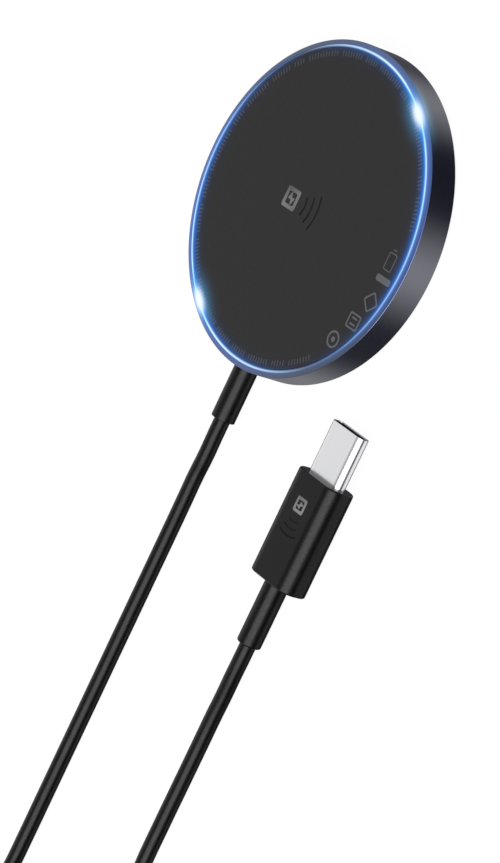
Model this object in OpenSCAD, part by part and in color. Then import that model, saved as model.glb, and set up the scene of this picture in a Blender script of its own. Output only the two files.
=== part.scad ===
// Magnetic wireless charging puck with a lit rim and a captive USB-C cord.
// Origin: centre of the underside, where the puck stands. +Z is up, out of the charging face.
// The cord leaves the puck along -Y.

/* [Puck] */
// Outer diameter of the puck
disc_d = 56; // [54:0.5:60]
// Height of the charging face above the table
disc_h = 5.9; // [5.8:0.1:6.4]
// Thickness of the aluminium side wall
wall_t = 0.8; // [0.7:0.05:0.9]
// Thickness of the charging face
face_t = 0.8; // [0.6:0.05:0.9]
// Width of the lit line that shows at the rim
light_w = 0.5; // [0.4:0.05:0.6]
// How far the rubber ring stands below the base cover
foot_h = 0.3; // [0.2:0.05:0.4]

/* [Magnets] */
// Number of magnet arcs around the coil
magnet_count = 16; // [12:2:20]
// Radial width of a magnet arc
magnet_w = 3.5; // [3:0.1:3.5]
// Height of a magnet arc
magnet_h = 1.5; // [1.2:0.1:1.5]

/* [Transmit coil] */
// Number of turns
coil_turns = 10; // [6:1:10]
// Diameter of the stranded wire
coil_wire_d = 0.9; // [0.7:0.05:0.9]
// Distance between turns
coil_pitch = 1; // [0.95:0.01:1]
// Radius where the first turn starts
coil_start_r = 10.6; // [9:0.1:10.6]

/* [Electronics] */
// Number of light-emitting diodes under the light guide
led_count = 12; // [8:2:12]
// Thickness of the round circuit board
board_t = 0.6; // [0.5:0.1:0.6]

/* [Cord] */
// Diameter of the cord
cord_d = 2.75; // [2.5:0.05:2.75]
// Diameter of both strain relief sleeves
sleeve_d = 4.1; // [3.8:0.1:4.4]
// Length of the sleeve that shows outside the puck
gland_len = 9.4; // [9:0.1:10]
// Height of the sleeve's axis above the table
gland_z = 2.55; // [2.5:0.05:2.6]

/* [Plug] */
// Width of the metal shell
shell_w = 8.25; // [8.2:0.01:8.3]
// Height of the metal shell
shell_h = 2.4; // [2.36:0.01:2.44]
// Length of shell that shows in front of the grip
shell_len = 9; // [6.65:0.05:9]
// Width of the moulded grip
grip_w = 10.8; // [10.6:0.1:12]
// Height of the moulded grip
grip_h = 5.8; // [5.2:0.1:6.2]
// Length of the moulded grip
grip_len = 18.3; // [17:0.1:20]
// Length of the sleeve behind the grip
tail_sleeve_len = 11; // [10:0.1:11]

/* [Hidden] */
$fn = 96;
eps = 0.01;
disc_r = disc_d / 2;
bore_r = disc_r - wall_t;          // inside of the side wall
fit_gap = 0.05;                    // assembly clearance inside the puck

// Heights of the layers, from the table up
cover_z = foot_h;
cover_t = 0.9;
groove_t = 0.2;
tape_t = 0.1;
cover_top = cover_z + cover_t;
ledge_z = cover_top + tape_t;
ledge_t = 1;
board_z = ledge_z + ledge_t;
board_top = board_z + board_t;
tray_floor_t = 0.2;
tray_top = board_top + tray_floor_t;
yoke_t = 0.4;
magnet_z = tray_top + yoke_t;
face_z = disc_h - face_t;
ferrite_t = 0.6;
coil_tape_z = tray_top + ferrite_t;
coil_z = coil_tape_z + tape_t + coil_wire_d / 2;
guide_z = board_top + 1;

// Radii of the layers
ledge_r = bore_r - 0.85;
board_r = bore_r - 0.2;
guide_r = bore_r - fit_gap;
light_r = guide_r - light_w;
face_r = light_r - fit_gap;
guide_in_r = bore_r - 0.9;
magnet_r = bore_r - 1.1;
magnet_in_r = magnet_r - magnet_w;
tray_in_r = 21.6;
tray_wall_t = 0.8;
ferrite_r = 21.4;
foot_in_r = 15;
foot_r = 24;

// Light-emitting diodes
led_l = 1.6;
led_w = 0.6;
led_h = 0.55;
led_r = bore_r - 0.55;
led_step = 360 / led_count;

// Cord entry in the side wall
neck_d = 2.4;
core_bore_d = 1.9;
flange_w = 6;
flange_z0 = ledge_z + 0.05;
flange_z1 = gland_z + neck_d / 2;
gland_end_y = -(disc_r + gland_len);
notch_w = 7;
notch_y = -24.5;

// Wires
core_d = 0.5;
core_off = 0.3;
core_colour = "firebrick";

// Plug, measured back from its tip
plug_x = 29.1;
plug_tip_y = -26;
plug_z = grip_h / 2 + 0.05;   // the grip lies on the table
shell_t = 0.25;
shell_back = 4.5;
grip_r = 2.4;
grip_y = -shell_len;
grip_back_y = grip_y - grip_len;
grip_edge = 0.3;
plug_end_y = grip_back_y - tail_sleeve_len;
can_w = 9.4;
can_h = 3.4;
can_t = 0.2;
can_y = grip_y - 2;
can_len = 10.5;
slot_w = 6.8;
slot_h = 1.1;
slot_depth = 6;
insulator_y = -0.15;
insulator_gap = 0.03;
contact_w = 0.25;
contact_t = 0.15;
contact_pitch = 0.5;
contact_y = -1.2;
contact_end_y = -15;
contact_z = 0.4;
upper_contacts = [0, 3, 4, 5, 6, 8, 11];
lower_contacts = [0, 3, 4, 5, 8, 11];
latch_x = 3.55;
latch_t = 0.2;
latch_h = 0.8;
latch_y = -1.5;
latch_end_y = -12;
plug_board_w = 7.6;
plug_board_t = 0.5;
plug_board_y = -14;
plug_board_len = 5.5;
collar_d = 4.8;
collar_len = 1.6;
collar_y = grip_back_y + 2.2;

// Store coil of the cord: three turns wide and three high, each turn a pitch apart
wind_x = 14.6;
wind_y = -144;
wind_pitch = 2.8;
wind_mid_r = 16.4;
wind_rows = 3;
wind_in_r = wind_mid_r - wind_rows * wind_pitch / 2;
wind_r = wind_mid_r + wind_rows * wind_pitch / 2;
wind_h = wind_rows * wind_pitch;
wind_corner = wind_pitch / 2;
tie_w = 6;
tie_t = 0.5;

// Cord route from the puck to the coil, and from the coil to the plug
lead_route = [
  [0, gland_end_y, gland_z], [0, -40, gland_z],
  [-0.1, -44, 2.4], [-0.7, -48, 2], [-1, -52, 1.7], [-1.2, -56, 1.5], [-1.3, -60, 1.4],
  [-1.3, -68, 1.4], [-1.3, -76, 1.4], [-1.3, -84, 1.4], [-1.3, -92, 1.4], [-1.3, -100, 1.4],
  [-1.3, -108, 1.4], [-1.3, -116, 1.4], [-1.4, -122, 1.4], [-2, -127, 1.4], [-3, -132, 1.4],
  [-4.2, -138, 1.4], [-4.6, -144, 1.4]
];
tail_route = [
  [33.8, -144, 7], [33.6, -140, 6.8], [33, -134.5, 5.8], [32, -129, 4.3], [30.7, -123, 2.7],
  [29.3, -117, 1.7], [28.1, -111, 1.4], [27.5, -105, 1.4], [27.4, -98, 1.4], [27.4, -91, 1.4],
  [27.4, -86, 1.4], [27.5, -82, 1.5], [27.8, -78, 1.8], [28.3, -74, 2.2], [28.8, -70, 2.7],
  [plug_x, -67, plug_z], [plug_x, plug_tip_y + plug_end_y, plug_z]
];
cord_sides = 8;

// ---- Shared shapes ----

function unit(v) = v / norm(v);

function heading(route, i) =
  unit(route[min(i + 1, len(route) - 1)] - route[max(i - 1, 0)]);

function tube_ring(route, i, r, sides) =
  let (t = heading(route, i), side = unit(cross(t, [0, 0, 1])), up = cross(side, t))
  [for (k = [0 : sides - 1])
    let (a = (k + 0.5) * 360 / sides)
    route[i] + r * (cos(a) * side + sin(a) * up)];

// A straight-sided tube swept along the points of a route
module swept_tube(route, d, sides) {
  rings = len(route);
  points = [for (i = [0 : rings - 1]) each tube_ring(route, i, d / 2, sides)];
  skin = [for (i = [0 : rings - 2], k = [0 : sides - 1])
    let (n = (k + 1) % sides)
    [i * sides + k, (i + 1) * sides + k, (i + 1) * sides + n, i * sides + n]];
  first = [for (k = [0 : sides - 1]) k];
  last = [for (k = [sides - 1 : -1 : 0]) (rings - 1) * sides + k];
  polyhedron(points = points, faces = concat(skin, [first], [last]));
}

// A flat ring between two radii and two heights
module flat_ring(r_in, r_out, z0, z1) {
  translate([0, 0, z0])
    difference() {
      cylinder(h = z1 - z0, r = r_out);
      translate([0, 0, -1]) cylinder(h = z1 - z0 + 2, r = r_in);
    }
}

// A rectangle with round corners, centred
module round_rect(w, h, r) {
  square([w - 2 * r, h], center = true);
  square([w, h - 2 * r], center = true);
  for (x = [-1, 1], y = [-1, 1])
    translate([x * (w / 2 - r), y * (h / 2 - r)]) circle(r = r);
}

// A rectangle whose short sides are half circles, centred
module stadium(w, h) {
  square([w - h, h], center = true);
  for (x = [-1, 1])
    translate([x * (w - h) / 2, 0]) circle(d = h);
}

// Draws along Y, from the front y backwards, with the outline's y as height
module along_y(y_front, length) {
  translate([0, y_front, 0])
    rotate([90, 0, 0])
      linear_extrude(height = length) children();
}

// The gap that the inner layers leave for the cord
module cord_notch(z0, z1) {
  translate([-notch_w / 2, -disc_r, z0 - eps])
    cube([notch_w, disc_r + notch_y, z1 - z0 + 2 * eps]);
}

module at_plug() {
  translate([plug_x, plug_tip_y, plug_z]) children();
}

module at_gland(y_front, length, d) {
  translate([0, 0, gland_z]) along_y(y_front, length) circle(d = d);
}

// A surface-mounted part under the circuit board
module under_board(x, y, turn, l, w, h) {
  translate([x, y, board_z - h / 2])
    rotate([0, 0, turn]) cube([l, w, h], center = true);
}

// ---- Puck, outside ----

module housing_ring() {
  foot_bevel = 0.2;
  rim_z = disc_h - 0.05;
  rim_slope = 0.1;
  edge_bevel = 0.15;
  color([0.20, 0.21, 0.27])
    difference() {
      rotate_extrude()
        polygon([
          [bore_r, cover_z], [disc_r - foot_bevel, cover_z], [disc_r, cover_z + foot_bevel],
          [disc_r, rim_z - rim_slope - edge_bevel], [disc_r - edge_bevel, rim_z - rim_slope],
          [bore_r, rim_z], [bore_r, board_z], [ledge_r, board_z], [ledge_r, ledge_z],
          [bore_r, ledge_z]
        ]);
      at_gland(-disc_r + 2, 4, neck_d);
      intersection() {
        cord_notch(ledge_z, board_z);
        cylinder(h = 20, r = bore_r, center = true);
      }
    }
}

module charging_face() {
  face_edge = 0.12;
  color([0.22, 0.22, 0.23])
    rotate_extrude()
      polygon([
        [0, face_z], [face_r, face_z], [face_r, disc_h - face_edge],
        [face_r - face_edge, disc_h], [0, disc_h]
      ]);
}

module light_guide_ring() {
  lip_top = disc_h - 0.02;
  color([0.75, 0.88, 1, 0.9])
    rotate_extrude()
      polygon([
        [guide_in_r, guide_z], [guide_r - 0.1, guide_z], [guide_r - 0.1, face_z],
        [guide_r, face_z], [guide_r, lip_top], [light_r, lip_top], [light_r, face_z - fit_gap],
        [guide_in_r, face_z - fit_gap]
      ]);
}

module base_cover() {
  color([0.12, 0.12, 0.13])
    difference() {
      translate([0, 0, cover_z]) cylinder(h = cover_t, r = bore_r - fit_gap);
      flat_ring(foot_in_r - fit_gap, foot_r + fit_gap, cover_z - 1, cover_z + groove_t);
    }
}

module anti_slip_ring() {
  lip = 0.1;
  color([0.08, 0.08, 0.09])
    rotate_extrude()
      polygon([
        [foot_in_r + lip, 0], [foot_r - lip, 0], [foot_r, lip], [foot_r, cover_z + groove_t],
        [foot_in_r, cover_z + groove_t], [foot_in_r, lip]
      ]);
}

module cover_adhesive_ring() {
  color([0.9, 0.88, 0.8])
    difference() {
      flat_ring(ledge_r, bore_r - fit_gap, cover_top, ledge_z);
      cord_notch(cover_top, ledge_z);
    }
}

// ---- Puck, magnets and coil ----

module face_adhesive_ring() {
  color([0.9, 0.88, 0.8])
    flat_ring(magnet_in_r, magnet_r, magnet_z + magnet_h, face_z);
}

module magnet_segments() {
  step = 360 / magnet_count;
  gap_deg = 0.6;
  color("silver")
    for (i = [0 : magnet_count - 1])
      translate([0, 0, magnet_z])
        rotate([0, 0, i * step + gap_deg / 2])
          rotate_extrude(angle = step - gap_deg)
            translate([magnet_in_r, 0]) square([magnet_w, magnet_h]);
}

module magnet_yoke() {
  color("dimgray")
    flat_ring(magnet_in_r, magnet_r, tray_top, magnet_z);
}

module coil_lead_holes() {
  hole_d = coil_wire_d + 0.3;
  coil_end_r = coil_start_r + coil_turns * coil_pitch;
  for (x = [coil_start_r, coil_end_r])
    translate([x, -0.55, board_top - 1]) cylinder(h = 5, d = hole_d);
}

module coil_tray() {
  color([0.16, 0.16, 0.17])
    difference() {
      union() {
        translate([0, 0, board_top]) cylinder(h = tray_floor_t, r = magnet_r);
        flat_ring(tray_in_r, tray_in_r + tray_wall_t, board_top, face_z - fit_gap);
      }
      coil_lead_holes();
      cord_notch(board_top, tray_top);
    }
}

module ferrite_shield() {
  color([0.25, 0.25, 0.27])
    difference() {
      translate([0, 0, tray_top]) cylinder(h = ferrite_t, r = ferrite_r);
      coil_lead_holes();
    }
}

module coil_adhesive() {
  edge = 0.6;
  color([0.95, 0.9, 0.75])
    difference() {
      flat_ring(coil_start_r - edge, ferrite_r, coil_tape_z, coil_tape_z + tape_t);
      coil_lead_holes();
    }
}

// Half circles from two centres join into one smooth spiral
module transmit_coil() {
  color([0.72, 0.45, 0.2])
    translate([0, 0, coil_z])
      for (i = [0 : coil_turns - 1]) {
        rotate_extrude(angle = 180)
          translate([coil_start_r + i * coil_pitch, 0]) circle(d = coil_wire_d);
        translate([coil_pitch / 2, 0, 0])
          rotate([0, 0, 180])
            rotate_extrude(angle = 180)
              translate([coil_start_r + (i + 0.5) * coil_pitch, 0]) circle(d = coil_wire_d);
      }
}

// Each lead starts at an open end of the spiral and drops to the circuit board
module coil_leads() {
  coil_end_r = coil_start_r + coil_turns * coil_pitch;
  bend = 0.55;
  color([0.72, 0.45, 0.2])
    for (end = [[coil_start_r, 0], [coil_end_r, 0]])
      translate([end[0], 0, coil_z]) {
        rotate([90, 0, 0]) cylinder(h = bend, d = coil_wire_d);
        translate([0, -bend, 0]) sphere(d = coil_wire_d);
        translate([0, -bend, board_top - coil_z])
          cylinder(h = coil_z - board_top, d = coil_wire_d);
      }
}

module thermistor() {
  bead_d = 1;
  leg_d = 0.3;
  leg_gap = 0.5;
  color([0.1, 0.1, 0.1])
    translate([0, 0, coil_tape_z + bead_d / 2]) {
      sphere(d = bead_d);
      for (x = [-1, 1])
        translate([x * leg_gap / 2, 0, 0])
          rotate([90, 0, 0]) cylinder(h = 6, d = leg_d);
    }
}

// ---- Puck, electronics ----

module circuit_board() {
  color([0.05, 0.3, 0.15])
    difference() {
      translate([0, 0, board_z]) cylinder(h = board_t, r = board_r);
      cord_notch(board_z, board_top);
    }
}

module controller_chip() {
  chip_w = 5;
  chip_h = 0.75;
  pads = 6;
  pad_pitch = 0.65;
  color([0.1, 0.1, 0.1]) {
    under_board(-7, 5, 0, chip_w, chip_w, chip_h);
    for (turn = [0, 90], side = [-1, 1], i = [0 : pads - 1])
      translate([-7, 5, 0])
        rotate([0, 0, turn])
          translate([(i - (pads - 1) / 2) * pad_pitch, side * (chip_w / 2), board_z - 0.1])
            cube([0.3, 0.4, 0.2], center = true);
  }
}

module driver_chips() {
  color([0.12, 0.12, 0.12])
    for (x = [2.5, 7.5])
      under_board(x, 6, 0, 3.2, 3.2, 0.75);
}

module resonant_capacitors() {
  cap_l = 3.2;
  cap_w = 2.5;
  cap_h = 0.85;
  end_l = 0.5;
  color([0.78, 0.7, 0.55])
    for (i = [0 : 3]) {
      under_board(13, -6 + 3.6 * i, 0, cap_l - 2 * end_l, cap_w - 0.1, cap_h - 0.05);
      for (side = [-1, 1])
        under_board(13 + side * (cap_l - end_l) / 2, -6 + 3.6 * i, 0, end_l, cap_w, cap_h);
    }
}

module power_inductor() {
  color([0.3, 0.3, 0.32])
    translate([-2.5, -8, board_z - 0.9])
      linear_extrude(height = 0.9) round_rect(4.4, 4.4, 1.1);
}

module small_passives() {
  color([0.6, 0.52, 0.4]) {
    for (i = [0 : 5])
      under_board(-14 + 1.4 * i, 11, 90, 1, 0.5, 0.4);
    for (i = [0 : 4])
      under_board(-15, -6 + 1.4 * i, 0, 1, 0.5, 0.4);
    for (i = [0 : 3])
      under_board(3 + 1.5 * i, -11, 90, 1, 0.5, 0.4);
  }
}

module edge_leds() {
  color([0.9, 0.95, 1])
    for (i = [0 : led_count - 1])
      rotate([0, 0, (i + 0.5) * led_step])
        translate([led_r, 0, board_top + led_h / 2])
          cube([led_w, led_l, led_h], center = true);
}

module thermal_pad() {
  pad_w = 4.6;
  pad_top = board_z - 0.75;
  color([0.6, 0.65, 0.7])
    translate([-7 - pad_w / 2, 5 - pad_w / 2, cover_top])
      cube([pad_w, pad_w, pad_top - cover_top]);
}

module lead_wires() {
  pad_z = board_z - core_d / 2;
  color(core_colour)
    for (i = [0 : 3]) {
      bore_x = (i % 2 == 0) ? -core_off : core_off;
      bore_z = gland_z + ((i < 2) ? -core_off : core_off);
      pad_x = sign(bore_x) * ((i < 2) ? 0.6 : 1.8);
      swept_tube(
        [[bore_x, -27.9, bore_z], [bore_x, -26.6, bore_z],
         [(bore_x + pad_x) / 2, -25.7, (bore_z + pad_z) / 2], [pad_x, -24.8, pad_z],
         [pad_x, -21.5, pad_z]],
        core_d, 8);
    }
}

// ---- Cord and its strain relief ----

module cord_gland() {
  tip_round = 0.12;
  color([0.07, 0.07, 0.08])
    difference() {
      union() {
        difference() {
          union() {
            at_gland(-disc_r + 2, gland_len + 2 - tip_round, sleeve_d);
            at_gland(gland_end_y + tip_round, tip_round, sleeve_d - 2 * tip_round);
          }
          cylinder(h = 20, r = disc_r, center = true);
        }
        at_gland(-bore_r + 0.2, wall_t + 0.7, neck_d);
        intersection() {
          translate([-flange_w / 2, -bore_r, flange_z0])
            cube([flange_w, 0.9, flange_z1 - flange_z0]);
          cylinder(h = 20, r = bore_r - fit_gap);
        }
      }
      at_gland(-disc_r + 4, gland_len + 6, core_bore_d);
    }
}

module winding_outline(grow) {
  translate([(wind_in_r + wind_r) / 2, wind_h / 2])
    round_rect(wind_r - wind_in_r + 2 * grow, wind_h + 2 * grow, wind_corner + grow);
}

module winding_place() {
  translate([wind_x, wind_y, 0]) children();
}

module cord_lead() {
  color([0.07, 0.07, 0.08])
    difference() {
      swept_tube(lead_route, cord_d, cord_sides);
      winding_place() cylinder(h = 30, r = wind_r, center = true);
    }
}

module cord_tail() {
  color([0.07, 0.07, 0.08])
    difference() {
      swept_tube(tail_route, cord_d, cord_sides);
      winding_place() cylinder(h = 30, r = wind_r, center = true);
    }
}

module cord_coil() {
  color([0.09, 0.09, 0.1])
    difference() {
      winding_place() rotate_extrude() winding_outline(0);
      coil_tie();
    }
}

// A strap round the winding, let into its underside so that nothing is below the table
module coil_tie() {
  strap_y = wind_y - wind_r - 2;
  color([0.13, 0.13, 0.14])
    difference() {
      intersection() {
        winding_place()
          rotate_extrude()
            translate([0, tie_t]) winding_outline(tie_t);
        translate([wind_x - tie_w / 2, strap_y, -1])
          cube([tie_w, wind_r - wind_in_r + 4, wind_h + 4]);
      }
      winding_place()
        rotate_extrude()
          translate([(wind_in_r + wind_r) / 2, wind_h / 2 + tie_t / 2])
            round_rect(wind_r - wind_in_r, wind_h - tie_t, wind_corner);
    }
}

// ---- Plug ----

// The grip's section along Y, with every end edge rounded
module grip_block() {
  mid_y = grip_y - grip_len / 2;
  intersection() {
    along_y(grip_y, grip_len) round_rect(grip_w, grip_h, grip_r);
    translate([0, mid_y, -grip_h])
      linear_extrude(height = 2 * grip_h) round_rect(grip_w, grip_len, grip_edge);
    translate([-grip_w, mid_y, 0])
      rotate([90, 0, 90])
        linear_extrude(height = 2 * grip_w) round_rect(grip_len, grip_h, grip_edge);
  }
}

module plug_overmold() {
  color([0.08, 0.08, 0.085])
    at_plug()
      difference() {
        grip_block();
        along_y(grip_y + 1, 4) stadium(shell_w, shell_h);
        along_y(can_y, can_len) round_rect(can_w, can_h, 1);
        along_y(can_y - can_len + 1, grip_len) circle(d = sleeve_d);
        along_y(collar_y, collar_len) circle(d = collar_d);
      }
}

module plug_strain_relief() {
  tip_round = 0.3;
  front_y = can_y - can_len;
  color([0.07, 0.07, 0.08])
    at_plug()
      difference() {
        union() {
          along_y(front_y, front_y - plug_end_y - tip_round) circle(d = sleeve_d);
          translate([0, plug_end_y + tip_round, 0])
            rotate([90, 0, 0])
              cylinder(h = tip_round, d1 = sleeve_d, d2 = sleeve_d - 2 * tip_round);
          along_y(collar_y, collar_len) circle(d = collar_d);
        }
        along_y(0, 60) circle(d = core_bore_d);
      }
}

module plug_shell() {
  color([0.85, 0.85, 0.87])
    at_plug()
      along_y(0, shell_len + shell_back)
        difference() {
          stadium(shell_w, shell_h);
          stadium(shell_w - 2 * shell_t, shell_h - 2 * shell_t);
        }
}

module contact_strips() {
  for (i = upper_contacts)
    translate([(i - 5.5) * contact_pitch - contact_w / 2, contact_end_y, contact_z])
      cube([contact_w, contact_y - contact_end_y, contact_t]);
  for (i = lower_contacts)
    translate([(i - 5.5) * contact_pitch - contact_w / 2, contact_end_y, -contact_z - contact_t])
      cube([contact_w, contact_y - contact_end_y, contact_t]);
}

module latch_strips() {
  for (side = [-1, 1])
    translate([side * latch_x - latch_t / 2, latch_end_y, -latch_h / 2])
      cube([latch_t, latch_y - latch_end_y, latch_h]);
}

module plug_insulator() {
  inner_w = shell_w - 2 * shell_t - 2 * insulator_gap;
  inner_h = shell_h - 2 * shell_t - 2 * insulator_gap;
  color([0.05, 0.05, 0.05])
    at_plug()
      difference() {
        along_y(insulator_y, 12.5) stadium(inner_w, inner_h);
        along_y(1, 1 + slot_depth - insulator_y) square([slot_w, slot_h], center = true);
        contact_strips();
        latch_strips();
      }
}

module plug_contacts() {
  color([0.85, 0.68, 0.3])
    at_plug() contact_strips();
}

module plug_latches() {
  color([0.7, 0.7, 0.72])
    at_plug() latch_strips();
}

module plug_can() {
  color([0.6, 0.6, 0.62])
    at_plug()
      difference() {
        along_y(can_y, can_len) round_rect(can_w, can_h, 1);
        along_y(can_y - can_t, can_len - 2 * can_t)
          round_rect(can_w - 2 * can_t, can_h - 2 * can_t, 0.8);
        along_y(0, can_len + shell_len) stadium(shell_w, shell_h);
        along_y(can_y - can_len + 1, 2) circle(d = core_bore_d);
      }
}

module plug_board() {
  color([0.05, 0.3, 0.15])
    at_plug()
      along_y(plug_board_y, plug_board_len)
        square([plug_board_w, plug_board_t], center = true);
}

module plug_wires() {
  pad_z = plug_board_t / 2 + core_d / 2;
  back_y = plug_board_y - plug_board_len;
  color(core_colour)
    at_plug()
      for (i = [0 : 3]) {
        bore_x = (i % 2 == 0) ? -core_off : core_off;
        bore_z = (i < 2) ? -core_off : core_off;
        pad_x = (i % 2 == 0) ? -1 : 1;
        swept_tube(
          [[pad_x, back_y + 2, sign(bore_z) * pad_z], [pad_x, back_y, sign(bore_z) * pad_z],
           [bore_x, back_y - 1.6, bore_z], [bore_x, back_y - 2.6, bore_z],
           [bore_x, plug_end_y + 1, bore_z]],
          core_d, 8);
      }
}

housing_ring();
charging_face();
light_guide_ring();
base_cover();
anti_slip_ring();
cover_adhesive_ring();
face_adhesive_ring();
magnet_segments();
magnet_yoke();
coil_tray();
ferrite_shield();
coil_adhesive();
transmit_coil();
coil_leads();
thermistor();
circuit_board();
controller_chip();
driver_chips();
resonant_capacitors();
power_inductor();
small_passives();
edge_leds();
thermal_pad();
lead_wires();
cord_gland();
cord_lead();
cord_coil();
cord_tail();
coil_tie();
plug_overmold();
plug_strain_relief();
plug_shell();
plug_insulator();
plug_contacts();
plug_latches();
plug_can();
plug_board();
plug_wires();
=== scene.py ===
import math

import bmesh
import bpy
from mathutils import Matrix, Vector


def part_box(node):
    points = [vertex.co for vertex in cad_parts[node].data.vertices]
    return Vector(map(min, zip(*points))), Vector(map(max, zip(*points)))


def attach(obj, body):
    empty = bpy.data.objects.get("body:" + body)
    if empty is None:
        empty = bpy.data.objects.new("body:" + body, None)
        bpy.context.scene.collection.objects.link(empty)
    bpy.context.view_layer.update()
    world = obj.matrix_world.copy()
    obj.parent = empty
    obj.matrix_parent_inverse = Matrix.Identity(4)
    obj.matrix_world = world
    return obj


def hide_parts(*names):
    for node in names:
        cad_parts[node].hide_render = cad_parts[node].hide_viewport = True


# Shapes are worked out in millimetres in the CAD frame, and become metres in add_piece().
# The cord's route and the lights are in metres.

MM = 0.001
BODY = "root"
AROUND = 240        # steps round a lathed piece
CORNER = 5          # steps in a rounded corner
SHARP = math.radians(38)

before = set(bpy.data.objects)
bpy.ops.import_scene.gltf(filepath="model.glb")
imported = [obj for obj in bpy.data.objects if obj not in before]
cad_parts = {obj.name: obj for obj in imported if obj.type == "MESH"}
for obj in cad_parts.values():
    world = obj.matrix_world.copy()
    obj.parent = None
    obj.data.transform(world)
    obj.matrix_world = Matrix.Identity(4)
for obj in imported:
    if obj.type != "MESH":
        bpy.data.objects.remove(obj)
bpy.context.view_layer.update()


def span(node):
    """Lowest and highest corner of a CAD node, in millimetres."""
    low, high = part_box(node)
    return low / MM, high / MM


# ---- Camera ----

CAMERA_AZIMUTH = 104.244
CAMERA_ELEVATION = 40.899
CAMERA_ROLL = -74.046
CAMERA_DISTANCE = 0.6
CAMERA_TARGET = Vector((0.004542, -0.036973, 0.000078))
CAMERA_LENS = 154.2


def add_camera():
    """A long lens at the photo's angle, rolled as the photo is."""
    turn = math.radians(CAMERA_AZIMUTH)
    lift = math.radians(CAMERA_ELEVATION)
    roll = math.radians(CAMERA_ROLL)
    flat = math.cos(lift)
    back = Vector((math.sin(turn) * flat, -math.cos(turn) * flat, math.sin(lift)))
    level = Vector((math.cos(turn), math.sin(turn), 0))
    above = back.cross(level)
    right = math.cos(roll) * level + math.sin(roll) * above
    up = math.cos(roll) * above - math.sin(roll) * level
    camera = bpy.data.objects.new("camera", bpy.data.cameras.new("camera"))
    camera.data.lens = CAMERA_LENS
    camera.data.clip_start = 0.01
    camera.data.clip_end = 20
    axes = Matrix((right, up, back)).transposed().to_4x4()
    camera.matrix_world = Matrix.Translation(CAMERA_TARGET + back * CAMERA_DISTANCE) @ axes
    bpy.context.scene.collection.objects.link(camera)
    bpy.context.scene.camera = camera


add_camera()


# ---- Shape helpers ----

def fillet(corners, closed=True, steps=CORNER):
    """An outline through (u, v, radius) corners, each rounded by an arc of that radius."""
    outline = []
    last = len(corners) - 1
    for i, (u, v, radius) in enumerate(corners):
        here = Vector((u, v))
        if radius == 0 or (not closed and i in (0, last)):
            outline.append((u, v))
            continue
        before = (Vector(corners[i - 1][:2]) - here).normalized()
        after = (Vector(corners[(i + 1) % len(corners)][:2]) - here).normalized()
        half = before.angle(after) / 2
        centre = here + (before + after).normalized() * (radius / math.sin(half))
        start = here + before * (radius / math.tan(half)) - centre
        end = here + after * (radius / math.tan(half)) - centre
        sweep = start.angle(end)
        for step in range(steps + 1):
            share = step / steps
            arm = start * math.sin((1 - share) * sweep) + end * math.sin(share * sweep)
            outline.append(tuple(centre + arm / math.sin(sweep)))
    return outline


def grid_faces(rows, columns, close_rows):
    """Quads between neighbouring rows of points, where each row is a closed ring."""
    faces = []
    for i in range(rows if close_rows else rows - 1):
        for k in range(columns):
            n = (k + 1) % columns
            j = (i + 1) % rows
            faces.append((i * columns + k, j * columns + k, j * columns + n, i * columns + n))
    return faces


def lathe(outline, closed=True, axis="z", centre=(0, 0), around=AROUND):
    """An outline of (radius, height) points turned about an axis along Z or Y."""
    verts = []
    for radius, height in outline:
        for k in range(around):
            angle = 2 * math.pi * k / around
            u = centre[0] + radius * math.cos(angle)
            v = centre[1] + radius * math.sin(angle)
            verts.append((u, v, height) if axis == "z" else (u, height, v))
    return verts, grid_faces(len(outline), around, closed)


def round_rect(width, height, radius, steps):
    """A rectangle with round corners: the same number of points at any size."""
    points = []
    for corner in range(4):
        cu = (width / 2 - radius) * (1 if corner in (0, 3) else -1)
        cv = (height / 2 - radius) * (1 if corner in (0, 1) else -1)
        for step in range(steps + 1):
            angle = math.radians(90 * (corner + step / steps))
            points.append((cu + radius * math.cos(angle), cv + radius * math.sin(angle)))
    return points


def loft_y(stations, centre, steps, closed=False):
    """Rounded rectangles (y, width, height, radius) joined along Y, and capped unless closed."""
    verts = []
    for y, width, height, radius in stations:
        for u, v in round_rect(width, height, radius, steps):
            verts.append((centre[0] + u, y, centre[1] + v))
    columns = 4 * (steps + 1)
    faces = grid_faces(len(stations), columns, closed)
    if not closed:
        faces.append(tuple(range(columns)))
        faces.append(tuple(range(len(verts) - columns, len(verts))))
    return verts, faces


def prism(outline, low, high):
    """A flat plate with the outline's shape between two heights."""
    count = len(outline)
    verts = [(u, v, low) for u, v in outline] + [(u, v, high) for u, v in outline]
    faces = [tuple(range(count)), tuple(range(count, 2 * count))]
    for k in range(count):
        n = (k + 1) % count
        faces.append((k, n, count + n, count + k))
    return verts, faces


def frame_prism(outer, inner, low, high):
    """A flat frame between two outlines that have the same number of points."""
    rows = [(outer, low), (outer, high), (inner, high), (inner, low)]
    verts = [(u, v, height) for outline, height in rows for u, v in outline]
    return verts, grid_faces(4, len(outer), True)


def joined(shapes):
    """Several (verts, faces) shapes as one."""
    verts = []
    faces = []
    for part_verts, part_faces in shapes:
        first = len(verts)
        verts += part_verts
        faces += [tuple(first + i for i in face) for face in part_faces]
    return verts, faces


def dress(piece, material, nodes=()):
    """Gives a piece its material and body, and hides the CAD nodes that it stands for."""
    piece.data.materials.clear()
    piece.data.materials.append(material)
    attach(piece, BODY)
    if nodes:
        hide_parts(*nodes)


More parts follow.
